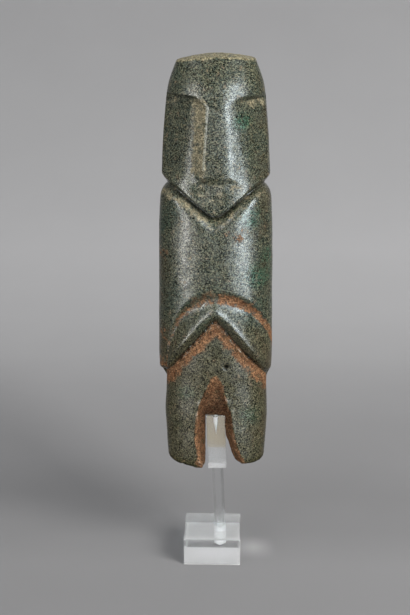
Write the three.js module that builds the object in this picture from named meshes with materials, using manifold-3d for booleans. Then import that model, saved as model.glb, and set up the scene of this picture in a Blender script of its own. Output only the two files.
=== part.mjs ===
// A carved stone figure in the celt-like Mezcala manner, standing on a clear acrylic stand.
// Millimetres, +Z up. The origin is the centre of the base's underside, and the figure faces -Y.

import * as THREE from 'three';
import { mergeVertices } from 'three/addons/utils/BufferGeometryUtils.js';
import Module from 'manifold-3d';

const wasm = await Module();
wasm.setup();

// Driving dimensions of the stand
const baseSide = 40;
const baseHeight = 20;
const rodDiameter = 8;
const rodX = 5.3;
const rodY = 4;
const rodShowing = 48.1;
const rodLeanDegrees = 2.2;
const holeDepth = 10;
const holeTipDepth = 2.6;
const cradleSide = 13;
const cradleHeight = 40.4;
const grooveWidth = 4;
const grooveDepth = 0.8;
const pinHoleDiameter = 2.6;
const pinHoleDepth = 15;
const pinHoleTipDepth = 1.2;

// Clearances: the glue film around and above the rod, the gap under the crotch and beside the cradle
const glueGap = 0.3;
const restGap = 0.3;
const cradlePlay = 0.7;

// Driving dimensions of the figure, the depths from its centre plane
const figureX = 1.7;
const figureHeight = 294.8;
const figureWidth = 78.6;
const figureFront = 22;
const figureBack = 19;
const sectionPower = 2.3;
const crotchHeight = 39;

// Blank of the figure: share of the height, then shares of half width, front depth and back depth
const blankStations = [
  [0.0, 0.94, 0.9, 0.8],
  [0.048, 0.972, 0.925, 0.87],
  [0.136, 1.008, 0.95, 0.94],
  [0.224, 0.985, 0.968, 0.98],
  [0.305, 1.0, 1.0, 1.0],
  [0.441, 0.987, 0.977, 1.0],
  [0.56, 0.98, 0.932, 1.0],
  [0.645, 0.959, 0.923, 0.984],
  [0.736, 0.916, 0.955, 0.963],
  [0.814, 0.888, 0.955, 0.947],
  [0.889, 0.842, 0.923, 0.895],
  [0.936, 0.784, 0.795, 0.816],
  [0.979, 0.669, 0.56, 0.684],
];

// Top of the head: fall of the dome from its centre to the sides and to the front, and its sideways tilt
const domeFallSide = 5;
const domeFallFront = 2.6;
const domeTilt = 0.02;
const rimRound = 1;

// Face: heights are shares of the figure's height, widths and depths are real sizes
const browLevel = 0.914;
const browEdge = 3;
const faceDepth = 2.6;
const faceFlatHalf = 6;
const innerFacetSlope = 0.3;
const sideFacetSlope = 0.75;
const facetLineTop = 14.5;
const facetLineSpread = 0.14;
const noseBaseLevel = 0.734;
const noseBaseEdge = 2.4;
const noseHalfTop = 4.8;
const noseHalfBase = 8;
const browFlare = 4;
const browFlareShare = 0.2;
const noseLeftFlank = 2;
const noseRightFlank = 6;
const muzzleRise = 24;
const cheekRise = 12;

// Groove under the jaw: a V in front that runs level round the sides and the back
const chinLevel = 0.6354;
const neckLevel = 0.7032;
const jawSlope = 0.83;
const jawBend = 2;
const chinRadius = 3;
const jawUndercut = 6.3;
const neckDepthSide = 4.4;
const neckDepthBack = 2.4;
const jawEdgeFront = 2.4;
const jawEdgeSide = 8;
const neckLipFront = 7;
const neckLipSide = 10;

// Forearms: an arched groove above them, and a step below that leaves belly and legs lower
const armTopLevel = 0.4415;
const armGrooveDepth = 2.7;
const armGrooveSpread = 8;
const armGrooveShare = 0.35;
const armEndLeft = -33;
const armEndRight = 39.5;
const armEndLevelLeft = 0.272;
const armEndLevelRight = 0.305;
const armCrest = 1.2;
const armFadeLeft = [0.7, 0.87];
const armFadeRight = [0.74, 0.98];
const stepApexLevel = 0.385;
const stepSlope = 1.27;
const stepRadius = 1.5;
const stepEdgeCentre = 3;
const stepEdgeSide = 11;
const legRecess = 3.5;
const legRecessBack = 1.6;

// Feet: blunt and broken, the right one shorter, with a worn edge
const leftFootFall = 3.5;
const leftFootLevel = 1;
const rightFootLevel = 4.5;
const footInner = 8;
const footEdge = 4;

// Notch between the legs: narrow where the cradle stands, and widening to the front and back surfaces
const notchFrontHeight = 70;
const notchFrontHalf = 13.8;
const notchBackHeight = 60;
const notchBackHalf = 11.5;
const notchFaceFront = 17;
const notchFaceBack = 15.5;
const notchHeightBend = 1.3;
const notchWidthBend = 0.8;
const notchInnerPower = 24;
const notchFacePower = 2;
const notchCrownShare = 0.25;
const brokenHeelWidth = 9;
const brokenHeelHeight = 28;
const innerFootBulge = 5;
const innerFootHeight = 24;

// Fineness of the faceted solids
const roundSides = 40;
const frontColumns = 50;
const backColumns = 20;
const centreCrowding = 0.13;
const notchSections = [-1.35, -1, -0.8, -0.6, -0.4, -0.2, 0, 0, 0.3, 0.65, 1, 1.35];
const archPoints = 26;
const footRows = [0, 0.27, 0.52, 0.76];
const belowStepShare = 0.12;
const domeShares = [0.96, 0.7, 0.38];
const levelPasses = 6;
const rowGap = 1;
const weldDistance = 1e-4;
const arcSplit = 1e-6;
const drillOvershoot = 1;

const baseCentre = baseHeight / 2;
const rodLean = THREE.MathUtils.degToRad(rodLeanDegrees);
const rodLength = holeDepth - glueGap + rodShowing;
const cradleBottom = rodShowing + glueGap;
const cradleTop = baseHeight + (cradleBottom + cradleHeight) * Math.cos(rodLean)
  + (cradleSide / 2) * Math.sin(rodLean);
const figureZ = cradleTop + restGap - crotchHeight;
const notchInnerHalf = cradleSide / 2 + cradlePlay;

function clamp01(value) {
  return Math.min(1, Math.max(0, value));
}

function smooth(value) {
  const t = clamp01(value);
  return t * t * (3 - 2 * t);
}

function softLower(a, b, bend) {
  return -bend * Math.log(Math.exp(-a / bend) + Math.exp(-b / bend));
}

// Smooth curve through one column of the blank's stations
function stationCurve(column, size) {
  const levels = blankStations.map((row) => row[0] * figureHeight);
  const values = blankStations.map((row) => row[column] * size);
  const slope = (i) => {
    const a = Math.max(0, i - 1);
    const b = Math.min(levels.length - 1, i + 1);
    return (values[b] - values[a]) / (levels[b] - levels[a]);
  };
  return (z) => {
    let i = 0;
    while (i < levels.length - 2 && z > levels[i + 1]) i += 1;
    const span = levels[i + 1] - levels[i];
    const t = (z - levels[i]) / span;
    if (t > 1) return values[i + 1] + slope(i + 1) * (z - levels[i + 1]);
    const u = 1 - t;
    return values[i] * u * u * (1 + 2 * t) + values[i + 1] * t * t * (3 - 2 * t)
      + span * t * u * (slope(i) * u - slope(i + 1) * t);
  };
}

const halfWidth = stationCurve(1, figureWidth / 2);
const frontDepth = stationCurve(2, figureFront);
const backDepth = stationCurve(3, figureBack);

// Carved lines of the front: height as a function of the sideways distance from the centre plane
function roundedV(x, radius) {
  return Math.sqrt(x * x + radius * radius) - radius;
}

function neckLine(x) {
  const sloping = chinLevel * figureHeight + jawSlope * roundedV(x, chinRadius);
  return softLower(sloping, neckLevel * figureHeight, jawBend);
}

function armLine(x) {
  const end = x < 0 ? armEndLeft : armEndRight;
  const low = (x < 0 ? armEndLevelLeft : armEndLevelRight) * figureHeight;
  const arch = Math.sqrt(Math.max(0, 1 - (x / end) ** 2));
  return low + (armTopLevel * figureHeight - low) * arch;
}

function stepLine(x) {
  return stepApexLevel * figureHeight - stepSlope * roundedV(x, stepRadius);
}

// On the back the lines run level, at the height that they reach at the sides
function bandLine(line) {
  return (x, side, inFront) => line(inFront ? x : side);
}

const neckBand = bandLine(neckLine);
const armBand = bandLine(armLine);
const stepBand = bandLine(stepLine);

// Depth carved away from the blank, measured along its surface normal
function neckCarving(z, x, side, share, inFront) {
  const above = z - neckBand(x, side, inFront);
  const edge = share * share;
  const centreDepth = inFront ? jawUndercut : neckDepthBack;
  const depth = centreDepth + (neckDepthSide - centreDepth) * edge;
  const upper = inFront ? jawEdgeFront + (jawEdgeSide - jawEdgeFront) * edge * edge : jawEdgeSide;
  const lower = neckLipFront + (neckLipSide - neckLipFront) * edge;
  return depth * (1 - smooth(above > 0 ? above / upper : -above / lower));
}

function noseHalf(z) {
  const brow = browLevel * figureHeight;
  const base = noseBaseLevel * figureHeight;
  const t = clamp01((brow - z) / (brow - base));
  return noseHalfTop + (noseHalfBase - noseHalfTop) * t + browFlare * smooth(1 - t / browFlareShare);
}

// How far the blank stands before the two flat facets of each cheek, along its normal
function facetDepth(z, x, ahead, normal) {
  const away = Math.abs(x);
  const flat = frontDepth(z) - faceDepth;
  const line = facetLineTop + facetLineSpread * (browLevel * figureHeight - z);
  const inner = flat - innerFacetSlope * Math.max(0, away - faceFlatHalf);
  const side = flat - innerFacetSlope * (line - faceFlatHalf) - sideFacetSlope * (away - line);
  const innerDepth = (ahead - inner) / (normal.ahead + innerFacetSlope * normal.side);
  const sideDepth = (ahead - side) / (normal.ahead + sideFacetSlope * normal.side);
  return Math.max(0, innerDepth, sideDepth);
}

function faceCarving(z, x, ahead, normal) {
  const underBrow = smooth((browLevel * figureHeight - z) / browEdge);
  const rise = muzzleRise + (cheekRise - muzzleRise) * smooth(Math.abs(x) / facetLineTop - 1);
  const aboveJaw = smooth((z - neckLine(x) - jawEdgeFront) / rise);
  const flank = x < 0 ? noseLeftFlank : noseRightFlank;
  const besideNose = smooth((Math.abs(x) - noseHalf(z)) / flank);
  const underNose = smooth((noseBaseLevel * figureHeight - z) / noseBaseEdge);
  return facetDepth(z, x, ahead, normal) * underBrow * aboveJaw * Math.max(besideNose, underNose);
}

// Height of the slope from the forearms down to belly and legs, steep in front and easier at the elbows
function stepEdge(share) {
  return stepEdgeCentre + (stepEdgeSide - stepEdgeCentre) * share ** 4;
}

function armCarving(z, x, side, share, inFront) {
  const groove = armBand(x, side, inFront);
  const step = stepBand(x, side, inFront);
  const within = (groove - z) / (groove - step);
  const edge = stepEdge(share);
  const recess = inFront ? legRecess : legRecessBack + (legRecess - legRecessBack) * share;
  const belowStep = recess * smooth(1 - (z - step) / edge);
  if (!inFront) return belowStep;
  const [fadeStart, fadeEnd] = x < 0 ? armFadeLeft : armFadeRight;
  const fade = 1 - smooth((share - fadeStart) / (fadeEnd - fadeStart));
  const across = within < 0 ? (z - groove) / armGrooveSpread : within / armGrooveShare;
  const crest = armCrest * fade * Math.sin(Math.PI * clamp01(within));
  return armGrooveDepth * fade * (1 - smooth(across)) - crest + belowStep;
}

function carving(z, x, side, share, inFront, ahead, normal) {
  const face = inFront ? faceCarving(z, x, ahead, normal) : 0;
  return neckCarving(z, x, side, share, inFront) + armCarving(z, x, side, share, inFront) + face;
}

function domeHeight(shareX, shareY, x) {
  return figureHeight - domeFallSide * shareX * shareX - domeFallFront * shareY * shareY + domeTilt * x;
}

function footHeight(x) {
  if (x >= 0) return rightFootLevel;
  return leftFootLevel + leftFootFall * clamp01((-x - footInner) / (figureWidth / 2 - 2 * footInner));
}

// One point of the skin: the column gives its direction, and the row's height line gives its level
function skinPoint(column, heightLine, inset) {
  const power = 2 / sectionPower;
  const shareX = Math.sign(column.cos) * Math.abs(column.cos) ** power;
  const shareY = Math.abs(column.sin) ** power;
  const inFront = column.sin >= 0;
  let z = figureHeight / 2;
  for (let pass = 0; pass < levelPasses; pass += 1) {
    const half = halfWidth(z);
    z = heightLine(half * shareX, Math.sign(shareX) * half, inFront, shareX, shareY);
  }
  const half = halfWidth(z);
  const depth = inFront ? frontDepth(z) : backDepth(z);
  const x = half * shareX;
  const slopeX = Math.sign(shareX) * Math.abs(shareX) ** (sectionPower - 1) / half;
  const slopeY = shareY ** (sectionPower - 1) / depth;
  const steepness = Math.hypot(slopeX, slopeY);
  const normal = { side: Math.abs(slopeX) / steepness, ahead: slopeY / steepness };
  const edge = Math.sign(shareX || 1) * half;
  const depthAway = carving(z, x, edge, Math.abs(shareX), inFront, depth * shareY, normal);
  const reach = (depthAway + inset) / steepness;
  const away = depth * shareY - slopeY * reach;
  return new THREE.Vector3(x - slopeX * reach, inFront ? -away : away, z);
}

function skinColumns() {
  const columns = [];
  const add = (angle) => columns.push({ cos: Math.cos(angle), sin: Math.sin(angle) });
  for (let i = 0; i < frontColumns; i += 1) {
    const angle = (Math.PI * i) / frontColumns;
    add(angle + centreCrowding * Math.sin(2 * angle));
  }
  for (let i = 0; i < backColumns; i += 1) add(Math.PI + (Math.PI * i) / backColumns);
  return columns;
}

// Rows from the feet to the rim: each band runs between two height lines and has its own row count
function skinRows() {
  const foot = (rise) => (x) => footHeight(x) + rise;
  const level = (share) => () => share * figureHeight;
  const shifted = (line, rise) => (...place) => line(...place) + rise;
  const between = (low, high, t) => (...place) => low(...place) * (1 - t) + high(...place) * t;
  const neckEdge = (x, side, inFront, shareX) => {
    const edge = shareX * shareX;
    const upper = inFront ? jawEdgeFront + (jawEdgeSide - jawEdgeFront) * edge * edge : jawEdgeSide;
    return neckBand(x, side, inFront) + upper;
  };
  const neckLip = (x, side, inFront, shareX) => neckBand(x, side, inFront)
    - neckLipFront - (neckLipSide - neckLipFront) * shareX * shareX;
  const above = (line, low, rise) => (...place) => Math.max(line(...place), low(...place) + rise);
  const noseUnder = above(level(noseBaseLevel - noseBaseEdge / figureHeight), neckEdge, rowGap);
  const noseBase = above(level(noseBaseLevel), noseUnder, rowGap);
  const stepTop = (x, side, inFront, shareX) => {
    const middle = (stepBand(x, side, inFront) + armBand(x, side, inFront)) / 2;
    return Math.min(stepBand(x, side, inFront) + stepEdge(Math.abs(shareX)), middle);
  };
  const rim = (x, side, inFront, shareX, shareY) => domeHeight(shareX, shareY, x) - rimRound;
  const bands = [
    { line: foot(footEdge), rows: 6 },
    { line: between(stepBand, foot(footEdge), belowStepShare), rows: 1 },
    { line: stepBand, rows: 2 },
    { line: stepTop, rows: 4 },
    { line: between(stepBand, armBand, 1 - armGrooveShare / 2), rows: 2 },
    { line: armBand, rows: 2 },
    { line: shifted(armBand, armGrooveSpread), rows: 6 },
    { line: neckLip, rows: 3 },
    { line: neckBand, rows: 2 },
    { line: neckEdge, rows: 3 },
    { line: noseUnder, rows: 1 },
    { line: noseBase, rows: 6 },
    { line: level(browLevel - browEdge / figureHeight), rows: 2 },
    { line: level(browLevel), rows: 3 },
    { line: rim, rows: 0 },
  ];
  const rows = footRows.map((t) => ({
    line: foot(footEdge * (1 - Math.cos(t * Math.PI / 2))),
    inset: footEdge * (1 - Math.sin(t * Math.PI / 2)),
  }));
  bands.forEach((band, i) => {
    for (let k = 0; k < band.rows; k += 1) {
      rows.push({ line: between(band.line, bands[i + 1].line, k / band.rows), inset: 0 });
    }
  });
  rows.push({ line: rim, inset: 0 });
  return rows;
}

function closedGeometry(positions, triangles) {
  const geometry = new THREE.BufferGeometry();
  geometry.setAttribute('position', new THREE.Float32BufferAttribute(positions, 3));
  geometry.setIndex(triangles);
  return geometry;
}

function bridgeRings(triangles, lower, upper, count) {
  for (let i = 0; i < count; i += 1) {
    const j = (i + 1) % count;
    triangles.push(lower + i, upper + i, upper + j, lower + i, upper + j, lower + j);
  }
}

function figureSkin() {
  const columns = skinColumns();
  const count = columns.length;
  const positions = [];
  const triangles = [];
  const pushRing = (points) => points.forEach((p) => positions.push(p.x, p.y, p.z));
  const rings = skinRows().map((row) => columns.map((column) => skinPoint(column, row.line, row.inset)));
  rings.forEach(pushRing);
  const rim = rings[rings.length - 1];
  domeShares.forEach((share) => {
    pushRing(rim.map((p) => {
      const shareX = (p.x / halfWidth(p.z)) * share;
      const shareY = (p.y / (p.y < 0 ? frontDepth(p.z) : backDepth(p.z))) * share;
      return new THREE.Vector3(p.x * share, p.y * share, domeHeight(shareX, shareY, p.x * share));
    }));
  });
  const ringCount = rings.length + domeShares.length;
  for (let i = 0; i + 1 < ringCount; i += 1) bridgeRings(triangles, i * count, (i + 1) * count, count);
  const below = positions.length / 3;
  positions.push(0, 0, (leftFootLevel + rightFootLevel) / 2, 0, 0, figureHeight);
  for (let i = 0; i < count; i += 1) {
    const j = (i + 1) % count;
    triangles.push(below, i, j);
    triangles.push(below + 1, (ringCount - 1) * count + j, (ringCount - 1) * count + i);
  }
  return closedGeometry(positions, triangles);
}

// Cutter for the notch: arches that grow from the cradle's space to the front and back surfaces
function notchArch(place) {
  const inFront = place < 0;
  const grow = Math.abs(place);
  const faceHeight = inFront ? notchFrontHeight : notchBackHeight;
  const faceHalf = inFront ? notchFrontHalf : notchBackHalf;
  const face = inFront ? notchFaceFront : notchFaceBack;
  const inner = cradleSide / 2 + restGap;
  const depth = inner + (face - inner) * grow;
  const height = crotchHeight + (faceHeight - crotchHeight) * grow ** notchHeightBend;
  const half = notchInnerHalf + (faceHalf - notchInnerHalf) * grow ** notchWidthBend;
  const power = notchInnerPower + (notchFacePower - notchInnerPower) * Math.sqrt(clamp01(grow));
  const points = [];
  for (let i = 0; i <= archPoints; i += 1) {
    const angle = (Math.PI * i) / archPoints;
    const z = height * Math.max(0, Math.sin(angle)) ** (2 / power);
    const side = Math.sign(Math.cos(angle)) * Math.abs(Math.cos(angle)) ** (2 / power);
    const broken = brokenHeelWidth * clamp01(1 - z / brokenHeelHeight) ** notchHeightBend;
    const bulge = innerFootBulge * clamp01(1 - z / innerFootHeight) * clamp01(grow);
    const x = half * side + (side > 0 ? broken : bulge) * clamp01(Math.abs(side) / notchCrownShare);
    points.push(new THREE.Vector3(x, inFront ? -depth : depth, z));
  }
  const floor = -footEdge;
  points.push(new THREE.Vector3(points[archPoints].x, points[0].y, floor));
  points.push(new THREE.Vector3(points[0].x, points[0].y, floor));
  return points;
}

function notchCutter() {
  const arches = notchSections.map((place, i) => {
    const facesFront = i < notchSections.lastIndexOf(0);
    return notchArch(place === 0 ? (facesFront ? -arcSplit : arcSplit) : place);
  });
  const count = arches[0].length;
  const positions = arches.flatMap((arch) => arch.flatMap((p) => [p.x, p.y, p.z]));
  const triangles = [];
  for (let i = 0; i + 1 < arches.length; i += 1) bridgeRings(triangles, i * count, (i + 1) * count, count);
  const caps = THREE.ShapeUtils.triangulateShape(arches[0].map((p) => new THREE.Vector2(p.x, p.z)), []);
  const last = (arches.length - 1) * count;
  const lastCap = THREE.ShapeUtils.triangulateShape(
    arches[arches.length - 1].map((p) => new THREE.Vector2(p.x, p.z)),
    [],
  );
  caps.forEach(([a, b, c]) => triangles.push(a, b, c));
  lastCap.forEach(([a, b, c]) => triangles.push(last + a, last + c, last + b));
  return closedGeometry(positions, triangles);
}

// Solid joins and cuts
function toSolid(geometry) {
  const bare = geometry.clone();
  bare.deleteAttribute('normal');
  bare.deleteAttribute('uv');
  const merged = mergeVertices(bare, weldDistance);
  const mesh = new wasm.Mesh({
    numProp: 3,
    vertProperties: new Float32Array(merged.attributes.position.array),
    triVerts: new Uint32Array(merged.index.array),
  });
  return new wasm.Manifold(mesh);
}

function toGeometry(solid) {
  const mesh = solid.getMesh();
  const positions = [];
  for (let i = 0; i < mesh.vertProperties.length; i += mesh.numProp) {
    positions.push(...mesh.vertProperties.slice(i, i + 3));
  }
  return closedGeometry(positions, Array.from(mesh.triVerts));
}

function drillCutter(diameter, depth, tipDepth) {
  const radius = diameter / 2;
  const mouth = drillOvershoot;
  const profile = [[0, -depth - tipDepth], [radius, -depth], [radius, mouth], [0, mouth]];
  const lathe = new THREE.LatheGeometry(profile.map(([r, h]) => new THREE.Vector2(r, h)), roundSides);
  return lathe.rotateX(Math.PI / 2);
}

// Pieces
function figureGeometry() {
  return toGeometry(toSolid(figureSkin()).subtract(toSolid(notchCutter())));
}

function baseGeometry() {
  const block = new THREE.BoxGeometry(baseSide, baseSide, baseHeight);
  const drill = drillCutter(rodDiameter + 2 * glueGap, holeDepth, holeTipDepth);
  drill.rotateY(-rodLean).translate(rodX, rodY, baseHeight - baseCentre);
  return toGeometry(toSolid(block).subtract(toSolid(drill)));
}

function rodGeometry() {
  const rod = new THREE.CylinderGeometry(rodDiameter / 2, rodDiameter / 2, rodLength, roundSides);
  return rod.rotateX(Math.PI / 2);
}

function cradleGeometry() {
  const half = cradleSide / 2;
  const outline = new THREE.Shape();
  outline.moveTo(-half, 0);
  outline.lineTo(half, 0);
  outline.lineTo(half, cradleHeight);
  outline.lineTo(grooveWidth / 2, cradleHeight);
  outline.lineTo(0, cradleHeight - grooveDepth);
  outline.lineTo(-grooveWidth / 2, cradleHeight);
  outline.lineTo(-half, cradleHeight);
  const block = new THREE.ExtrudeGeometry(outline, { depth: cradleSide, bevelEnabled: false });
  block.rotateX(Math.PI / 2).translate(0, half, 0);
  const drill = drillCutter(pinHoleDiameter, pinHoleDepth, pinHoleTipDepth);
  drill.translate(0, 0, cradleHeight);
  return toGeometry(toSolid(block).subtract(toSolid(drill)));
}

function piece(name, geometry, colour, roughness) {
  const material = new THREE.MeshStandardMaterial({ color: colour, roughness, metalness: 0 });
  const flat = geometry.index ? geometry.toNonIndexed() : geometry;
  flat.computeVertexNormals();
  const mesh = new THREE.Mesh(flat, material);
  mesh.name = name;
  return mesh;
}

const figure = piece('idol', figureGeometry(), 0x4b5548, 0.45);
figure.position.set(figureX, rodY, figureZ);

const base = piece('stand_base', baseGeometry(), 0xd9dedc, 0.06);
base.position.z = baseCentre;

const rod = piece('stand_rod', rodGeometry(), 0xdfe3e2, 0.06);
rod.position.z = rodShowing - rodLength / 2;

const cradle = piece('stand_cradle', cradleGeometry(), 0xd4d8d4, 0.08);
cradle.position.z = cradleBottom;

// Rod and cradle lean together, about the mouth of the drilled hole
const post = new THREE.Group();
post.position.set(rodX, rodY, baseHeight);
post.rotation.y = -rodLean;
post.add(rod, cradle);

const part = new THREE.Group();
part.add(base, post, figure);

export default part;
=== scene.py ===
import math

import bpy
import bmesh
import numpy as np
from mathutils import Matrix, Vector


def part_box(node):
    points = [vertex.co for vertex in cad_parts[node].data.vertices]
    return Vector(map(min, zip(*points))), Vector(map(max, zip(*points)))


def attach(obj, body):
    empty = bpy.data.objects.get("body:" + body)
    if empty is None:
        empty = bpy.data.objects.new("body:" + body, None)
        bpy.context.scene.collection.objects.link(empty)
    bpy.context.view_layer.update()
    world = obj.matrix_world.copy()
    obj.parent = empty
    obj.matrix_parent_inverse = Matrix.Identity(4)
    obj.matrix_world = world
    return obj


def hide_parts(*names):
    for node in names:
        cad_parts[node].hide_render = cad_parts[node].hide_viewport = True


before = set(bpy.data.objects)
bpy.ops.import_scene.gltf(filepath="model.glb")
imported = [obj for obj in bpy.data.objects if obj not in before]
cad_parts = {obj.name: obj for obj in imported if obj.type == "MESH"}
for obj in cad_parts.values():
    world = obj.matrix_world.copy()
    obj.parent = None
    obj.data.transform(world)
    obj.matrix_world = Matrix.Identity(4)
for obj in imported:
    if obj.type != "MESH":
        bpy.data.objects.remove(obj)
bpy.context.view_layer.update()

# Carved greenstone figure on a clear acrylic stand. The form is worked out in millimetres in the
# figure's own frame: x sideways, y from its centre plane to the back, z from the feet upwards.
MM = 0.001
TINY = 1e-9
SEED = 7

# How a lattice place is scrambled into a chance value
HASH_FACTORS = (73856093, 19349663, 83492791)
HASH_SEED_FACTOR = 2654435761
HASH_MIX_FACTOR = 1274126177
HASH_SHIFTS = (13, 16)
HASH_TOP = 0xFFFF

# The sockets of a mix node that take and give colours
MIX_COLOURS = (6, 7)
MIX_RESULT = 2

# The figure's overall sizes, and its blank: height, half width, front and back depth as shares of them
FIGURE_HEIGHT = 294.8
FIGURE_WIDTH = 78.6
FIGURE_FRONT = 22.0
FIGURE_BACK = 19.0
LOWEST_FOOT = 1.0
BLANK_STATIONS = [
    (0.0, 0.94, 0.9, 0.8),
    (0.048, 0.972, 0.925, 0.87),
    (0.136, 1.008, 0.95, 0.94),
    (0.224, 0.985, 0.968, 0.98),
    (0.305, 1.0, 1.0, 1.0),
    (0.441, 0.987, 0.977, 1.0),
    (0.56, 0.98, 0.932, 1.0),
    (0.645, 0.959, 0.923, 0.984),
    (0.736, 0.916, 0.955, 0.963),
    (0.814, 0.888, 0.955, 0.947),
    (0.889, 0.842, 0.923, 0.895),
    (0.936, 0.784, 0.795, 0.816),
    (0.979, 0.669, 0.56, 0.684),
]
HEAD_POWER = 2.15
BODY_POWER = 2.35
POWER_BLEND = 12.0
DOME_LEVEL = 293.7
DOME_FALL_SIDE = 3.8
DOME_FALL_FRONT = 1.2
DOME_FALL_BACK = 5.0
DOME_TILT = 0.02
RIM_ROUND = 1.0

# Face
BROW_LEVEL = 269.5
BROW_EDGE = (2.4, 5.0)
BROW_EDGE_BLEND = 12.0
FACE_DEPTH = (2.8, 1.1)
FACE_DEPTH_BLEND = 16.0
FACE_FLAT_HALF = 6.0
INNER_FACET_SLOPE = (0.27, 0.21)
SIDE_FACET_SLOPE = 0.75
FACET_LINE_TOP = 14.5
FACET_LINE_SPREAD = 0.14
FACET_ROUND = 2.0
NOSE_BASE_LEVEL = 216.4
NOSE_BASE_EDGE = 7.0
NOSE_HALF_TOP = 4.4
NOSE_HALF_BASE = 8.0
NOSE_LEFT_FLANK = 8.5
NOSE_LEFT_FLANK_BEND = 1.6
NOSE_RIGHT_FLANK = 13.0
BROW_FLARE = (8.0, 5.0)
BROW_FLARE_SHARE = 0.15
EYE_HOLLOW = 1.4
EYE_HOLLOW_HEIGHT = 6.0
MUZZLE_RISE = 24.0
CHEEK_RISE = 12.0

# Groove under the jaw
CHIN_LEVEL = 187.3
NECK_LEVEL = 207.3
JAW_SLOPE = 0.83
JAW_BEND = 2.0
CHIN_RADIUS = 3.0
JAW_UNDERCUT = 6.4
NECK_DEPTH_SIDE = 4.4
NECK_DEPTH_BACK = 2.4
JAW_EDGE_FRONT = 2.4
JAW_EDGE_SIDE = 8.0
NECK_LIP_FRONT = 15.0
NECK_LIP_SIDE = 13.0
NECK_RUN_OUT = 3.2

# Forearms and the step below them
ARM_TOP_LEVEL = 130.2
ARM_GROOVE_DEPTH = 2.7
ARM_GROOVE_SPREAD = 8.0
ARM_END = (-33.0, 39.5)
ARM_END_LEVEL = (80.2, 89.9)
ARM_FADE = ((0.7, 0.87), (0.74, 0.98))
ARM_GROOVE_CENTRE = 0.6
ARM_GROOVE_BLEND = 9.0
ARM_CREST_HEIGHT = 15.0
ARM_CREST_SHARE = 0.58
ARM_UNDERSIDE = 3.2
ARM_CREST = 1.3
ARM_CREST_EASE = 0.75
ARM_CREST_END = 0.8
STEP_APEX_LEVEL = 113.5
STEP_SLOPE = 1.27
STEP_RADIUS = 1.5
STEP_EDGE = (2.6, 11.0)
STEP_EDGE_POWER = 4
STEP_SLOPE_SHARE = 0.45
STEP_SLOPE_WIDTH = 7.0
LEG_RECESS = (4.6, 3.0)
LEG_RECESS_BACK = 1.6

# Feet
LEFT_FOOT_FALL = 3.5
LEFT_FOOT_LEVEL = 1.0
RIGHT_FOOT_LEVEL = 4.5
FOOT_INNER = 8.0
FOOT_EDGE = 4.0

# Notch between the legs, around the cradle's space
CROTCH_HEIGHT = 39.0
CRADLE_SIDE = 13.0
CRADLE_PLAY = 0.7
NOTCH_HEIGHT = (70.0, 60.0)
NOTCH_HALF = (13.8, 11.5)
NOTCH_FACE = (17.0, 15.5)
NOTCH_HEIGHT_BEND = 1.3
NOTCH_WIDTH_BEND = 0.8
NOTCH_INNER_POWER = 26.0
NOTCH_FACE_POWER = 1.65
NOTCH_LEAD = 0.7
NOTCH_FLARE_LIMIT = 1.5
BROKEN_HEEL_WIDTH = 9.0
BROKEN_HEEL_HEIGHT = 28.0
INNER_FOOT_BULGE = 5.0
INNER_FOOT_HEIGHT = 24.0

# Small marks of the stone, seen from in front: place across, height and radius
PIT_PLACE = (7.9, 80.9)
PIT_RADIUS = 1.4
PIT_DEPTH = 2.2
RUST_SPOTS = [(15, 174, 4.5), (19, 179, 3.5), (8, 178, 3), (-34, 103, 5), (-35, 160, 5), (6, 133, 4),
              (-8, 128, 4)]
MOUTH_DUST = [(-3, 205, 11), (12, 208, 7)]
TEAL_SPOTS = [(24, 187, 7), (36, 160, 6), (29, 147, 9), (17, 252, 6), (24, 43, 8), (-20, 60, 6)]

# Deposits and dust, measured away from their lines: the start, rise, end and fall of a band
STEP_DEPOSIT = (-2.2, 1.6, 6.5, 9.0)
GROOVE_DEPOSIT = (-4.5, 3.0, 2.0, 7.0)
CHEEK_DUST = (5.0, 2.0, 13.0, 6.0)

# The same where they lie evenly about a line or level: how far off it and how wide
NOTCH_DEPOSIT = 2.0
NOTCH_DEPOSIT_LOW = 4.0
NOTCH_DEPOSIT_LEVEL = (13.0, 9.0)
NECK_DUST = (5.0, 6.0)
BROW_DUST = (6.0, 5.0)
BROW_DUST_START = (19.0, 8.0)
BROW_DUST_CENTRE = -4.0
CHEEK_DUST_TOP = 4.0
CHEEK_DUST_FOOT = (6.0, 8.0)
# Offset of the painted highlight from the nose's left edge
ARRIS_HIGHLIGHT_OFFSET = 0.3
FRONT_FADE = (1.0, 6.0)

# How strongly each kind of mark shows, and how far its edge reaches beyond it
SPOT_EDGE = 1.4
NOTCH_EDGE = 1.2
# Reach of the pit's mask: its painted shade and its matte patch
PIT_EDGE = 1.5
RUST_SPOT_SHARE = 0.5
MOUTH_DUST_SHARE = 0.5
# Worn edges with a painted highlight: share of the sharp ridges, and of the nose's left edge with its width
# and fade
RIDGE_SHARE = 0.5
ARRIS_HIGHLIGHT_SHARE = 0.85
ARRIS_HIGHLIGHT_WIDTH = 1.3
ARRIS_HIGHLIGHT_FADE = 6.0

# How hollow or sharp the form is, felt at two distances
CAVITY_REACHES = (1.5, 3.5)
HOLLOW_GAIN = 2.2
RIDGE_GAIN = 1.6
RIDGE_START = 0.92

# Worn relief: height and size of the marks
WAVES = (0.22, 15.0)
DENTS = (0.07, 5.0)
CHIPS = (0.35, 4.5)
GRIT = 0.03
GRIT_RAW = 0.3
GRIT_TOP = 0.12
GRIT_SIZE = 1.9
BREAK_LEVEL = (14.0, 10.0)
TOP_BAND = 1.5

# Fineness of the mesh
NET_STEP = 0.87
NET_MARGIN = 3.0
NET_ROUND = 0.8
SLOPE_REACH = 0.15
FLATTEST_SLOPE = 0.05
SETTLE_ROUNDS = 3
LEAST_LENGTH = 1e-6

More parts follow.
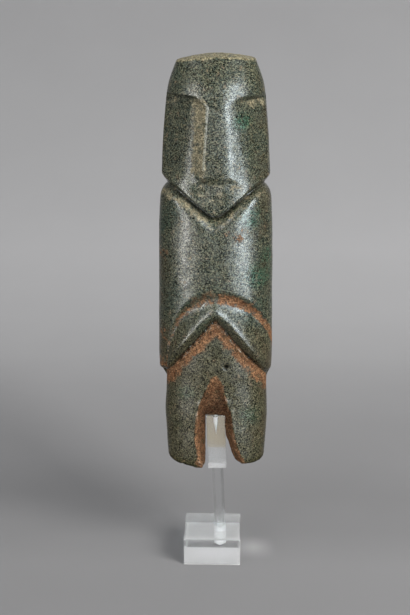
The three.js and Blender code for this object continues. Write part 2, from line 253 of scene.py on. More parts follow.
# Stand: drilled holes, broken edges, the V in the cradle's top and the pin hole below it
GLUE_GAP = 0.3
HOLE_TIP = 2.6
BASE_BEVEL = 0.5
EDGE_BEVEL = 0.3
V_HALF = 2.0
V_DEPTH = 0.8
PIN_RADIUS = 1.6
PIN_DEPTH = 6.0
PIN_TIP = 10.2
ROUND_SIDES = 72
PIN_SIDES = 40
EDGE_FACING = 0.9
SHARP_ANGLE = 15.0
BEVEL_SEGMENTS = 2
BEVEL_PROFILE = 0.5
LEAN_ROUNDS = 8

# Acrylic: haze and roughness of each kind, and the stain on the cradle's upper back
ACRYLIC_IOR = 1.49
CLEAR_ALPHA = 0.72
CLEAR_FINISH = (0.0, 0.02)
HAZY_FINISH = (0.06, 0.0)
FROSTED_FINISH = (0.8, 0.6)
STAINED_FINISH = (0.14, 0.02)
CLEAR_TINTS = ((0.965, 0.98, 0.973, 1), (0.99, 0.995, 0.993, 1))
CRADLE_TINT = (0.985, 0.995, 0.99, 1)
RIPPLES = (6.0, 2.0)
STAIN_PATCHES = (3.0, 2.0)
STAIN_LOW = 12.7
STAIN_FADE = 0.2
STAIN_BEHIND = (0.6, 0.2)
STAIN_COLOURS = ((232, 196, 112), (240, 212, 158))

# Colours of the stone, as display values from 0 to 255
DARK_GRAINS = ((6, 11, 8), (13, 12, 7))
LIGHT_GRAINS = ((46, 63, 51), (118, 118, 92))
GREENER_GRAINS = (42, 80, 64)
TEAL_GRAINS = (44, 104, 78)
OLIVE_GRAINS = (98, 86, 50)
FLECKS = (138, 132, 104)
BROWN_SIDES = (58, 46, 28)
RUST = ((36, 21, 11), (190, 142, 104))
RUST_LUMPS = (94, 54, 31)
# Painted shade deep inside the notch
PAINTED_NOTCH_SHADE = (40, 24, 15)
# Painted shade darkening the hollows of the carving
PAINTED_HOLLOW_SHADE = (14, 14, 9)
# Painted shade in the pit
PAINTED_PIT_SHADE = (12, 12, 9)
DUST = ((68, 63, 48), (196, 184, 152))
TOP_DUST = ((62, 58, 42), (198, 188, 154))
# Worn edges, lightened with a painted highlight along them
WORN_EDGES_AND_HIGHLIGHT = ((104, 106, 92), (204, 208, 196))

# Noises of the stone: size of the marks, detail, roughness and warp
GRAIN_NOISE = (0.8, 3.0, 0.7, 0.8)
FINE_NOISE = (0.4, 2.0, 0.6)
CRUMB_NOISE = (0.9, 3.0, 0.7, 0.5)
LUMP_NOISE = (3.0, 2.0)
SPREAD_NOISE = (4.0, 4.0, 0.65)
POLISH_NOISE = (7.0, 3.0)
PATCH_NOISE = (15, 3.0)
BROAD_NOISE = (34, 2.0)
CRYSTALS_PER_MM = 1.1

# Ranges over which the stone's colours and gloss change: from, to, and the values there
PATCH_RANGE = (0.35, 0.65)
BROAD_RANGE = (0.56, 0.7, 0.0, 0.4)
TEAL_RANGE = (0.35, 0.6, 0.1, 0.9)
FLECK_RANGE = (0.5, 0.6)
SIDE_PATCH_RANGE = (0.42, 0.6)
CRUMB_RANGE = (0.38, 0.64)
LUMP_RANGE = (0.4, 0.65, 0.0, 0.55)
OLIVE_LEVELS = (192, 162, 0.0, 0.5)
SPECKLE_RANGE = (0.69, 0.84)
FLECK_CHANCE = 0.92
SIDE_RANGE = (24, 36)
# Depths over which the painted shade inside the notch fades in
PAINTED_NOTCH_SHADE_DEPTH = (12, 6)
GROOVE_SIDE_RANGE = (-6, 10, 0.66, 1.0)
GROOVE_APEX_RANGE = (2, 10, 0.62, 1.0)
NECK_SIDE_RANGE = (4, -8, 0.4, 0.8)
WORN_RANGE = (0.28, 1.1, 0.0, 0.88)
DUST_RANGE = (0.3, 1.1, 0.0, 0.78)
# Range of the worn edges with their painted highlight
WORN_EDGE_AND_HIGHLIGHT_RANGE = (0.4, 1.1, 0.0, 0.7)
POLISH_RANGE = (0.35, 0.65, 0.21, 0.31)
SHINE_RANGE = (0.0, 0.8, 0.4, 0.06)

# Shares of the marks in the stone's colour, gloss and bump
FINE_SHARE = 0.5
SIDE_SHARE = 0.35
# Share of the painted shade inside the notch
PAINTED_NOTCH_SHADE_SHARE = 0.42
# Share of the painted shade in the hollows
PAINTED_HOLLOW_SHADE_SHARE = 0.55
TOP_DUST_SHARE = 0.9
CHEEK_DUST_SHARE = 0.85
BROW_DUST_SHARE = 0.75
DEPOSIT_GRAIN = 1.5
DEPOSIT_BREAKS = 3.1
DUST_BREAKS = 3.2
# Breaks in the worn edges and their painted highlight
WORN_EDGE_AND_HIGHLIGHT_BREAKS = 2.4
GRAIN_ROUGHNESS = 0.08
MATTE_ROUGHNESS = 0.35
GRAIN_SHINE = (1.2, 0.4)
BUMP_FINE_SHARE = 0.6
STONE_BUMP = (0.35, 0.0001)
RIPPLE_BUMP = (0.05, 0.0002)

# Grey paper under and behind the figure, in metres
FLOOR_GAP = 0.0003
FLOOR_FRONT = -0.3
FLOOR_BACK = 0.35
SWEEP_RADIUS = 0.9
SWEEP_STEPS = 24
WALL_HEIGHT = 1.6
PAPER_HALF_WIDTH = 3.0

# The paper's painted light and shade along it, as distance in millimetres and display value
PAPER_LEAD = 100.0
PAPER_SPAN = 2400.0
PAPER_LIGHT_AND_SHADE = [(-70, 134), (-20, 136), (30, 130), (90, 130), (150, 138), (220, 142), (300, 150), (380, 160),
               (470, 165), (640, 168), (810, 161), (980, 156), (1220, 150), (1500, 176), (1900, 196)]
PAPER_HUE = (1.0, 0.998, 1.004)
MOTTLE_NOISE = (90, 3.0)
MOTTLE_TINTS = ((0.97, 0.97, 0.97, 1), (1.03, 1.03, 1.03, 1))
PAPER_ROUGHNESS = 0.85
PAPER_SHINE = 0.1

# Light and shade around the clear block: centre, half size, fade and tint
PAPER_MARKS = [
    ((0.0, 0.0), (20.0, 20.0), 0.6, (3.9, 3.85, 3.75, 1)),
    ((0.0, 25.6), (18.5, 5.0), 1.0, (0.15, 0.15, 0.15, 1)),
    ((30.0, 6.0), (8.0, 9.0), 10.0, (1.6, 1.59, 1.58, 1)),
    ((-22.0, 1923.0), (26.0, 9.0), 2.0, (1.3, 1.3, 1.33, 1)),
]

# Soft boxes: place and size in metres, watts, tint, and whether for highlights or else for shading
SOFT_BOXES = [
    ("soft_right", (0.58, -1.11, 0.31), (0.4, 1.08), 36, (0.84, 0.94, 1.0), True),
    ("soft_left", (-0.62, -1.06, 0.29), (0.21, 1.12), 17, (1.0, 0.99, 0.97), True),
    ("side_light", (1.4, -1.1, 1.4), (1.1, 1.1), 54, (1.0, 0.985, 0.965), False),
    ("fill_light", (-1.5, -2.0, 1.0), (1.4, 1.4), 26, (1.0, 0.99, 0.975), False),
]
SHADING_AIM = 0.2
WORLD_COLOUR = (0.8, 0.82, 0.85, 1)
WORLD_STRENGTH = 0.5

# Camera of the photograph: place in millimetres from the base's underside, turns in degrees
CAMERA_PLACE = (19.9, -936.1, 535.1)
CAMERA_YAW = 1.55
CAMERA_PITCH = 20.25
FOCAL_PIXELS = 1452.0
PHOTO_HEIGHT = 615
SENSOR_LONG_SIDE = 36.0
NEAREST_SEEN = 0.05


def clamp01(value):
    return np.clip(value, 0.0, 1.0)


def smooth(value):
    t = clamp01(value)
    return t * t * (3 - 2 * t)


def mix(a, b, t):
    return a + (b - a) * t


def soft_lower(a, b, bend):
    return -bend * np.logaddexp(-a / bend, -b / bend)


def soft_upper(a, b, radius):
    """The larger of two values, rounded over a radius where they meet."""
    gap = np.maximum(radius - np.abs(a - b), 0.0)
    return np.maximum(a, b) + gap * gap / (4 * radius)


def station_curve(column, size):
    """A smooth curve through one column of the blank's stations."""
    levels = np.array([row[0] for row in BLANK_STATIONS]) * FIGURE_HEIGHT
    values = np.array([row[column] for row in BLANK_STATIONS]) * size
    slopes = np.gradient(values, levels)
    slopes[1:-1] = (values[2:] - values[:-2]) / (levels[2:] - levels[:-2])

    def curve(z):
        place = np.clip(np.searchsorted(levels, z) - 1, 0, len(levels) - 2)
        span = levels[place + 1] - levels[place]
        t = (z - levels[place]) / span
        u = 1 - t
        inside = (values[place] * u * u * (1 + 2 * t) + values[place + 1] * t * t * (3 - 2 * t)
                  + span * t * u * (slopes[place] * u - slopes[place + 1] * t))
        beyond = values[-1] + slopes[-1] * (z - levels[-1])
        return np.where(z > levels[-1], beyond, inside)

    return curve


half_width = station_curve(1, FIGURE_WIDTH / 2)
front_depth = station_curve(2, FIGURE_FRONT)
back_depth = station_curve(3, FIGURE_BACK)


def rounded_v(x, radius):
    return np.sqrt(x * x + radius * radius) - radius


def neck_line(x):
    return soft_lower(CHIN_LEVEL + JAW_SLOPE * rounded_v(x, CHIN_RADIUS), NECK_LEVEL, JAW_BEND)


def arm_line(x):
    left = x < 0
    end = np.where(left, ARM_END[0], ARM_END[1])
    low = np.where(left, ARM_END_LEVEL[0], ARM_END_LEVEL[1])
    return low + (ARM_TOP_LEVEL - low) * np.sqrt(np.maximum(0.0, 1 - (x / end) ** 2))


def step_line(x):
    return STEP_APEX_LEVEL - STEP_SLOPE * rounded_v(x, STEP_RADIUS)


def neck_carving(z, x_line, edge, in_front):
    above = z - neck_line(x_line)
    centre_depth = np.where(in_front, JAW_UNDERCUT, NECK_DEPTH_BACK)
    depth = mix(centre_depth, NECK_DEPTH_SIDE, edge)
    upper = np.where(in_front, mix(JAW_EDGE_FRONT, JAW_EDGE_SIDE, edge * edge), JAW_EDGE_SIDE)
    lower = mix(NECK_LIP_FRONT, NECK_LIP_SIDE, edge)
    run_out = (1 - clamp01(-above / lower)) ** NECK_RUN_OUT
    return depth * np.where(above > 0, 1 - smooth(above / upper), run_out)


def nose_half(x, z):
    t = clamp01((BROW_LEVEL - z) / (BROW_LEVEL - NOSE_BASE_LEVEL))
    flare = np.where(x < 0, BROW_FLARE[0], BROW_FLARE[1])
    return mix(NOSE_HALF_TOP, NOSE_HALF_BASE, t) + flare * smooth(1 - t / BROW_FLARE_SHARE)


def facet_distance(x, y, z):
    """Distance to the two flat facets that each cheek is cut to, below nought behind them."""
    away = np.abs(x)
    flat = front_depth(z) - mix(FACE_DEPTH[0], FACE_DEPTH[1], smooth(x / FACE_DEPTH_BLEND + 0.5))
    slope = np.where(x < 0, INNER_FACET_SLOPE[0], INNER_FACET_SLOPE[1])
    line = FACET_LINE_TOP + FACET_LINE_SPREAD * (BROW_LEVEL - z)
    inner = flat - slope * np.maximum(0.0, away - FACE_FLAT_HALF)
    side = flat - slope * (line - FACE_FLAT_HALF) - SIDE_FACET_SLOPE * (away - line)
    inner_distance = (-y - inner) / np.hypot(1, slope)
    side_distance = (-y - side) / math.hypot(1, SIDE_FACET_SLOPE)
    return soft_upper(inner_distance, side_distance, FACET_ROUND)


def face_carving(x, y, z, blank):
    under_brow = smooth((BROW_LEVEL - z) / mix(BROW_EDGE[0], BROW_EDGE[1], smooth(x / BROW_EDGE_BLEND + 0.5)))
    rise = mix(MUZZLE_RISE, CHEEK_RISE, smooth(np.abs(x) / FACET_LINE_TOP - 1))
    above_jaw = smooth((z - neck_line(x) - JAW_EDGE_FRONT) / rise)
    beside = np.abs(x) - nose_half(x, z)
    left_flank = 1 - (1 - clamp01(beside / NOSE_LEFT_FLANK)) ** NOSE_LEFT_FLANK_BEND
    beside_nose = np.where(x < 0, left_flank, smooth(beside / NOSE_RIGHT_FLANK))
    under_nose = smooth((NOSE_BASE_LEVEL - z) / NOSE_BASE_EDGE)
    cut = np.maximum(facet_distance(x, y, z) - blank, 0.0)
    cut = cut + EYE_HOLLOW * np.exp(-np.maximum(BROW_LEVEL - z, 0.0) / EYE_HOLLOW_HEIGHT)
    return cut * under_brow * above_jaw * np.maximum(beside_nose, under_nose)


def arm_carving(z, x, x_line, share, in_front):
    groove = arm_line(x_line)
    step = step_line(x_line)
    within = (groove - z) / (groove - step)
    leg = mix(LEG_RECESS[0], LEG_RECESS[1], smooth(x / FIGURE_WIDTH + 0.5))
    recess = np.where(in_front, leg, mix(LEG_RECESS_BACK, leg, share))
    in_step = clamp01(share) ** STEP_EDGE_POWER
    edge = mix(STEP_EDGE[0], STEP_EDGE[1], in_step)
    steep = smooth(1 - (z - step) / edge)
    easy = smooth((step - z + edge / 2) / STEP_SLOPE_WIDTH)
    below_step = recess * mix(steep, easy, np.where(in_front, STEP_SLOPE_SHARE * (1 - in_step), 0.0))
    fade_start = np.where(x < 0, ARM_FADE[0][0], ARM_FADE[1][0])
    fade_end = np.where(x < 0, ARM_FADE[0][1], ARM_FADE[1][1])
    fade = np.where(in_front, 1 - smooth((share - fade_start) / (fade_end - fade_start)), 0.0)
    span = groove - step
    crest_height = np.minimum(ARM_CREST_HEIGHT, ARM_CREST_SHARE * span)
    rise = z - step
    up_to_crest = smooth(rise / (ARM_CREST_EASE * crest_height))
    under = ARM_UNDERSIDE * (1 - up_to_crest) * (rise > 0)
    crest_end = ARM_CREST_END * crest_height
    above_crest = smooth((rise - crest_end) / (span - crest_end))
    across = np.where(within < 0, 1 - smooth((z - groove) / ARM_GROOVE_SPREAD), above_crest)
    depth = ARM_GROOVE_DEPTH * mix(ARM_GROOVE_CENTRE, 1.0, smooth(np.abs(x) / ARM_GROOVE_BLEND))
    crest = ARM_CREST * up_to_crest * (1 - above_crest)
    return fade * (depth * across + under - crest) + below_step


def dome_height(x, y):
    rim = FIGURE_HEIGHT * BLANK_STATIONS[-1][0]
    share_x = x / half_width(np.float32(rim))
    share_y = y / np.where(y < 0, front_depth(np.float32(rim)), back_depth(np.float32(rim)))
    fall = np.where(y < 0, DOME_FALL_FRONT, DOME_FALL_BACK)
    return DOME_LEVEL - DOME_FALL_SIDE * share_x ** 2 - fall * share_y ** 2 + DOME_TILT * x


def foot_height(x):
    outward = clamp01((-x - FOOT_INNER) / (FIGURE_WIDTH / 2 - 2 * FOOT_INNER))
    return np.where(x >= 0, RIGHT_FOOT_LEVEL, LEFT_FOOT_LEVEL + LEFT_FOOT_FALL * outward)


def notch_distance(x, y, z):
    """Below nought inside the notch between the legs."""
    back = y > 0
    face = np.where(back, NOTCH_FACE[1], NOTCH_FACE[0])
    inner = CRADLE_SIDE / 2 - NOTCH_LEAD
    grow = np.clip((np.abs(y) - inner) / (face - inner), 0.0, NOTCH_FLARE_LIMIT)
    face_top = np.where(back, NOTCH_HEIGHT[1], NOTCH_HEIGHT[0])
    top = CROTCH_HEIGHT + (face_top - CROTCH_HEIGHT) * grow ** NOTCH_HEIGHT_BEND
    inner_half = CRADLE_SIDE / 2 + CRADLE_PLAY
    face_half = np.where(back, NOTCH_HALF[1], NOTCH_HALF[0])
    half = inner_half + (face_half - inner_half) * grow ** NOTCH_WIDTH_BEND
    power = mix(NOTCH_INNER_POWER, NOTCH_FACE_POWER, np.sqrt(clamp01(grow)))
    broken = BROKEN_HEEL_WIDTH * clamp01(1 - z / BROKEN_HEEL_HEIGHT) ** NOTCH_HEIGHT_BEND
    bulge = INNER_FOOT_BULGE * clamp01(1 - z / INNER_FOOT_HEIGHT) * clamp01(grow)
    side = np.where(x > 0, x - broken, -x + bulge)
    across = np.abs(np.maximum(side, 0.0)) / half
    upward = np.maximum(z, 0.0) / top
    reach = (across ** power + upward ** power + TINY) ** (1 / power)
    slope_x = (across / reach) ** (power - 1) / half
    slope_z = (upward / reach) ** (power - 1) / top
    return (reach - 1) / np.sqrt(slope_x * slope_x + slope_z * slope_z + TINY)


def blank_distance(x, y, z):
    """Distance to the uncarved blank, below nought inside, with the share of the half width."""
    half = half_width(z)
    depth = np.where(y < 0, front_depth(z), back_depth(z))
    power = mix(BODY_POWER, HEAD_POWER, smooth((z - NECK_LEVEL) / POWER_BLEND + 0.5))
    share = np.abs(x) / half
    away = np.abs(y) / depth
    reach = (share ** power + away ** power + TINY) ** (1 / power)
    slope_x = (share / reach) ** (power - 1) / half
    slope_y = (away / reach) ** (power - 1) / depth
    return (reach - 1) / np.sqrt(slope_x * slope_x + slope_y * slope_y), share / reach


def pit_share(x, z):
    """Squared distance from the pit's centre, in its radii."""
    return ((x - PIT_PLACE[0]) ** 2 + (z - PIT_PLACE[1]) ** 2) / PIT_RADIUS ** 2


def figure_distance(x, y, z):
    """Below nought inside the carved figure."""
    blank, share = blank_distance(x, y, z)
    in_front = y < 0
    half = half_width(z)
    x_line = np.where(in_front, x, np.where(x < 0, -half, half))
    edge = clamp01(share) ** 2
    carved = neck_carving(z, x_line, edge, in_front)
    carved = carved + arm_carving(z, x, x_line, share, in_front)
    carved = carved + np.where(in_front, face_carving(x, y, z, blank), 0.0)
    carved = carved + np.where(in_front, PIT_DEPTH * np.exp(-pit_share(x, z)), 0.0)
    solid = soft_upper(blank + carved, z - dome_height(x, y), RIM_ROUND)
    solid = soft_upper(solid, foot_height(x) - z, FOOT_EDGE)
    return soft_upper(solid, -notch_distance(x, y, z), NET_ROUND)


def halves(axis):
    """The slices of a grid without its last and without its first layer along an axis."""
    low = [slice(None)] * 3
    high = [slice(None)] * 3
    low[axis] = slice(None, -1)
    high[axis] = slice(1, None)
    return tuple(low), tuple(high)


def surface_net(values, origin, step):
    """Quads around the places where a grid of values passes through nought."""
    cells = tuple(n - 1 for n in values.shape)
    total = np.zeros(cells + (3,), np.float32)
    hits = np.zeros(cells, np.float32)
    inside = values < 0
    for axis in range(3):
        low, high = halves(axis)
        crossing = inside[low] != inside[high]
        drop = np.where(crossing, values[low] - values[high], 1)
        t = np.where(crossing, values[low] / drop, 0)
        others = [k for k in range(3) if k != axis]
        for first in (0, 1):
            for second in (0, 1):
                cut = [slice(None)] * 3
                cut[others[0]] = slice(first, first + cells[others[0]])
                cut[others[1]] = slice(second, second + cells[others[1]])
                hit = crossing[tuple(cut)]
                hits += hit
                total[..., axis] += t[tuple(cut)]
                total[..., others[0]] += hit * first
                total[..., others[1]] += hit * second
    used = np.argwhere(hits > 0)
    number = -np.ones(cells, np.int64)
    number[tuple(used.T)] = np.arange(len(used))
    inner = total[tuple(used.T)] / hits[tuple(used.T)][:, None]
    points = np.array(origin) + (used + inner) * step
    quads = []
    for axis in range(3):
        low, high = halves(axis)
        places = np.argwhere(inside[low] != inside[high])
        outward = inside[low][tuple(places.T)]
        corners = []
        for du, dv in ((-1, -1), (0, -1), (0, 0), (-1, 0)):
            cell = places.copy()
            cell[:, (axis + 1) % 3] += du
            cell[:, (axis + 2) % 3] += dv
            corners.append(number[tuple(cell.T)])
        corners = np.stack(corners, 1)
        quads.append(np.where(outward[:, None], corners, corners[:, ::-1]))
    return points, np.concatenate(quads)


def gradients(points):
    """Steepness of the figure's distance at each point."""
    slopes = []
    for axis in range(3):
        offset = np.zeros(3)
        offset[axis] = SLOPE_REACH
        ahead = figure_distance(*(points + offset).T)
        behind = figure_distance(*(points - offset).T)
        slopes.append((ahead - behind) / (2 * SLOPE_REACH))
    return np.stack(slopes, 1)


def settle(points):
    """Moves the net's points onto the figure's surface and returns them with their outward directions."""
    for _ in range(SETTLE_ROUNDS):
        slope = gradients(points)
        square = np.maximum((slope * slope).sum(1), FLATTEST_SLOPE)
        push = figure_distance(*points.T) / square
        push = np.clip(push, -NET_STEP, NET_STEP)
        points = points - slope * push[:, None]
    slope = gradients(points)
    return points, slope / np.maximum(np.linalg.norm(slope, axis=1), LEAST_LENGTH)[:, None]


def lattice_noise(points, size, seed):
    """Smooth noise from -1 to 1 with marks of about that size in millimetres."""
    places = points / size
    cell = np.floor(places).astype(np.int64)
    t = places - cell
    ease = t * t * (3 - 2 * t)
    factors = np.array(HASH_FACTORS, np.uint64)
    start = np.uint64((seed + SEED) * HASH_SEED_FACTOR)
    first_shift, second_shift = np.array(HASH_SHIFTS, np.uint64)
    total = np.zeros(len(points))
    for corner in np.ndindex(2, 2, 2):
        key = (cell + np.array(corner)).astype(np.uint64) * factors
        mixed = key[:, 0] ^ key[:, 1] ^ key[:, 2] ^ start
        mixed = (mixed ^ (mixed >> first_shift)) * np.uint64(HASH_MIX_FACTOR)
        chance = (mixed >> second_shift) & np.uint64(HASH_TOP)
        value = chance.astype(float) * 2 / HASH_TOP - 1
        weight = np.ones(len(points))
        for axis in range(3):
            weight = weight * (ease[:, axis] if corner[axis] else 1 - ease[:, axis])
        total += value * weight
    return total


def spots(x, z, marks):
    """Round marks with soft edges, from (x, z, radius), as they lie seen from in front."""
    total = np.zeros(len(x))
    for spot_x, spot_z, radius in marks:
        away = np.hypot(x - spot_x, z - spot_z) / radius
        total = np.maximum(total, smooth(SPOT_EDGE - away))
    return total


def band(distance, reach):
    """A strip that rises and falls smoothly, from its start, rise, end and fall."""
    start, rise, end, fall = reach
    return smooth((distance - start) / rise) * (1 - smooth((distance - end) / fall))


def cavity_masks(points, normals):
    """How hollow and how sharp the form is around each point."""
    hollow = np.zeros(len(points))
    ridge = np.zeros(len(points))
    for reach in CAVITY_REACHES:
        outside = figure_distance(*(points + normals * reach).T)
        inside = -figure_distance(*(points - normals * reach).T)
        hollow = np.maximum(hollow, clamp01(HOLLOW_GAIN * (1 - outside / reach)))
        ridge = np.maximum(ridge, clamp01(RIDGE_GAIN * (RIDGE_START - inside / reach)))
    return hollow, ridge


def deposit_masks(x, y, z, front):
    """Rust-coloured deposits in the notch, below the step, in spots and in the forearms' groove."""
    low = smooth((NOTCH_DEPOSIT_LEVEL[0] - z) / NOTCH_DEPOSIT_LEVEL[1])
    notch = smooth(NOTCH_EDGE - notch_distance(x, y, z) / (NOTCH_DEPOSIT + NOTCH_DEPOSIT_LOW * low))
    step = front * band(step_line(x) - z, STEP_DEPOSIT)
    step = np.maximum(step, RUST_SPOT_SHARE * front * spots(x, z, RUST_SPOTS))
    groove = front * band(z - arm_line(x), GROOVE_DEPOSIT)
    return {"notch": notch, "step": step, "groove": groove}


def dust_masks(x, z, front):
    """Pale dust below the jaw, on the left cheek and the mouth, and under the brow's ends."""
    neck = front * smooth(1 - np.abs(z - neck_line(x) + NECK_DUST[0]) / NECK_DUST[1])
    cheek = front * band(-x, CHEEK_DUST)
    cheek = cheek * smooth((BROW_LEVEL - z) / CHEEK_DUST_TOP)
    cheek = cheek * smooth((z - NOSE_BASE_LEVEL + CHEEK_DUST_FOOT[0]) / CHEEK_DUST_FOOT[1])
    cheek = np.maximum(cheek, MOUTH_DUST_SHARE * front * spots(x, z, MOUTH_DUST))
    outward = (np.abs(x - BROW_DUST_CENTRE) - BROW_DUST_START[0]) / BROW_DUST_START[1]
    below = np.abs(z - BROW_LEVEL + BROW_DUST[0]) / BROW_DUST[1]
    brow = front * smooth(1 - below) * smooth(outward)
    return {"neck": neck, "cheek": cheek, "brow": brow}


def figure_masks(points, normals):
    """Where deposits, dust, the stone's colour patches, painted shade and painted edge highlights lie, from 0
    to 1.
    """
    x, y, z = points.T
    hollow, ridge = cavity_masks(points, normals)
    front = smooth((FRONT_FADE[0] - y) / FRONT_FADE[1])
    # Painted highlight along the nose's left edge, joined with the sharp ridges in the ridge mask
    painted_arris_highlight = front * smooth(ARRIS_HIGHLIGHT_WIDTH - np.abs(x + nose_half(x, z) + ARRIS_HIGHLIGHT_OFFSET) / ARRIS_HIGHLIGHT_WIDTH)
    painted_arris_highlight = painted_arris_highlight * smooth((z - NOSE_BASE_LEVEL) / ARRIS_HIGHLIGHT_FADE) * smooth((BROW_LEVEL - z) / ARRIS_HIGHLIGHT_FADE)
    masks = {"hollow": hollow, "ridge": np.maximum(RIDGE_SHARE * ridge, ARRIS_HIGHLIGHT_SHARE * painted_arris_highlight)}
    # Painted shade in the pit, which is also made matte
    masks["pit"] = front * np.exp(-pit_share(x, z) / PIT_EDGE ** 2)
    masks["teal"] = front * spots(x, z, TEAL_SPOTS)
    masks["top"] = smooth(z - dome_height(x, y) + TOP_BAND)
    masks.update(deposit_masks(x, y, z, front))
    masks.update(dust_masks(x, z, front))
    masks["raw"] = np.maximum(smooth((BREAK_LEVEL[0] - z) / BREAK_LEVEL[1]), masks["notch"])
    return masks


def worn_relief(points, raw, top):
    """Height of the worn and broken surface above the carved form."""
    relief = WAVES[0] * lattice_noise(points, WAVES[1], 1)
    relief += DENTS[0] * lattice_noise(points, DENTS[1], 2)
    relief += (GRIT + GRIT_RAW * raw + GRIT_TOP * top) * lattice_noise(points, GRIT_SIZE, 3)
    relief += CHIPS[0] * raw * lattice_noise(points, CHIPS[1], 4)
    return relief


def make_mesh(name, points, faces):
    mesh = bpy.data.meshes.new(name)
    mesh.from_pydata(points.tolist(), [], faces.tolist())
    mesh.update()
    mesh.shade_smooth()
    return mesh


def make_figure(place):
    """The idol: a fine mesh of the carved form, with worn and broken surface added."""
    low = (-FIGURE_WIDTH / 2 - NET_MARGIN, -FIGURE_FRONT - NET_MARGIN, -NET_MARGIN)
    high = (FIGURE_WIDTH / 2 + NET_MARGIN, FIGURE_BACK + NET_MARGIN, FIGURE_HEIGHT + NET_MARGIN)
    axes = [np.arange(a, b, NET_STEP, dtype=np.float32) for a, b in zip(low, high)]
    grid = np.meshgrid(*axes, indexing="ij")
    points, faces = surface_net(figure_distance(*grid), low, NET_STEP)
    points, normals = settle(points)
    masks = figure_masks(points, normals)
    points = points + normals * worn_relief(points, masks["raw"], masks["top"])[:, None]
    mesh = make_mesh("idol_stone", points * MM + np.array(place), faces)
    for name, values in masks.items():
        layer = mesh.attributes.new(name, "FLOAT", "POINT")
        layer.data.foreach_set("value", values.astype(np.float32))
    return mesh


def colour(display):
    """A scene-linear colour from display values between 0 and 255."""
    def linear(v):
        v = v / 255
        return v / 12.92 if v <= 0.04045 else ((v + 0.055) / 1.055) ** 2.4
    return tuple(linear(v) for v in display) + (1,)


class Shader:
    """A small helper that adds and links the nodes of one material."""

    def __init__(self, name):
        self.material = bpy.data.materials.new(name)
        self.material.use_nodes = True
        self.tree = self.material.node_tree
        self.surface = self.tree.nodes["Principled BSDF"]

    def node(self, kind, inputs=None, **settings):
        made = self.tree.nodes.new(kind)
        for key, value in settings.items():
            setattr(made, key, value)
        for key, value in (inputs or {}).items():
            self.set(made.inputs[key], value)
        return made

    def set(self, socket, value):
        if isinstance(value, bpy.types.NodeSocket):
            self.tree.links.new(value, socket)
        else:
            socket.default_value = value

    def math(self, operation, a, b=0.0, c=0.0, clamp=False):
        made = self.node("ShaderNodeMath", {0: a, 1: b, 2: c}, operation=operation, use_clamp=clamp)
        return made.outputs[0]

    def mix(self, factor, a, b, blend="MIX"):
        made = self.node("ShaderNodeMix", data_type="RGBA", blend_type=blend)
        self.set(made.inputs["Factor"], factor)
        self.set(made.inputs[MIX_COLOURS[0]], a)
        self.set(made.inputs[MIX_COLOURS[1]], b)
        return made.outputs[MIX_RESULT]

    def blend(self, factor, display_pair):
        return self.mix(factor, colour(display_pair[0]), colour(display_pair[1]))

    def times(self, a, b):
        return self.math("MULTIPLY", a, b)

    def larger(self, *values):
        largest = values[0]
        for value in values[1:]:
            largest = self.math("MAXIMUM", largest, value)
        return largest

    def between(self, value, low, high, out_low=0.0, out_high=1.0):
        made = self.node("ShaderNodeMapRange", {"Value": value, "From Min": low, "From Max": high,
                                                "To Min": out_low, "To Max": out_high})
        made.interpolation_type = "SMOOTHSTEP"
        return made.outputs["Result"]

    def place(self):
        """Object coordinates in millimetres."""
        coordinates = self.node("ShaderNodeTexCoord").outputs["Object"]
        return self.node("ShaderNodeVectorMath", {0: coordinates, 1: (1 / MM,) * 3},
                         operation="MULTIPLY").outputs[0]

    def noise(self, place, size, detail=2.0, rough=0.5, warp=0.0):
        return self.node("ShaderNodeTexNoise", {"Vector": place, "Scale": 1 / size, "Detail": detail,
                                                "Roughness": rough, "Distortion": warp}).outputs["Fac"]

    def bump(self, strength_and_depth, height):
        strength, depth = strength_and_depth
        made = self.node("ShaderNodeBump", {"Strength": strength, "Distance": depth, "Height": height})
        self.set(self.surface.inputs["Normal"], made.outputs["Normal"])

    def mask(self, name):
        return self.node("ShaderNodeAttribute", attribute_name=name).outputs["Fac"]


def stone_noises(s):
    """The place and the noises that the stone's colours share."""
    place = s.place()
    parts = s.node("ShaderNodeSeparateXYZ", {0: place}).outputs
    crystals = s.node("ShaderNodeTexVoronoi",
                      {"Vector": place, "Scale": CRYSTALS_PER_MM, "Randomness": 1.0})
    tint = s.node("ShaderNodeSeparateColor", {"Color": crystals.outputs["Color"]}).outputs
    return {
        "place": place,
        "side": parts["X"],
        "away": s.math("ABSOLUTE", parts["X"]),
        "depth": s.math("ABSOLUTE", parts["Y"]),
        "level": parts["Z"],
        "tint": tint[0],
        "chance": tint[1],
        "grain": s.noise(place, *GRAIN_NOISE),
        "fine": s.noise(place, *FINE_NOISE),
        "patch": s.noise(place, *PATCH_NOISE),
        "spread": s.noise(place, *SPREAD_NOISE),
        "crumbs": s.between(s.noise(place, *CRUMB_NOISE), *CRUMB_RANGE),
    }


def speckled(s, n, speckle):
    """Bare stone: light grains in a dark ground, with patches, flecks and browner sides."""
    dark = s.blend(s.between(n["patch"], *PATCH_RANGE), DARK_GRAINS)
    light = s.blend(n["tint"], LIGHT_GRAINS)
    broad = s.between(s.noise(n["place"], *BROAD_NOISE), *BROAD_RANGE)
    light = s.mix(broad, light, colour(GREENER_GRAINS))
    teal = s.times(s.mask("teal"), s.between(n["spread"], *TEAL_RANGE))
    light = s.mix(teal, light, colour(TEAL_GRAINS))
    light = s.mix(s.between(n["level"], *OLIVE_LEVELS), light, colour(OLIVE_GRAINS))
    body = s.mix(speckle, dark, light)
    chosen = s.math("GREATER_THAN", n["chance"], FLECK_CHANCE)
    flecks = s.times(chosen, s.between(n["fine"], *FLECK_RANGE))
    body = s.mix(flecks, body, colour(FLECKS))
    edge = s.times(s.between(n["away"], *SIDE_RANGE), s.between(n["patch"], *SIDE_PATCH_RANGE))
    return s.mix(s.times(edge, SIDE_SHARE), body, colour(BROWN_SIDES))


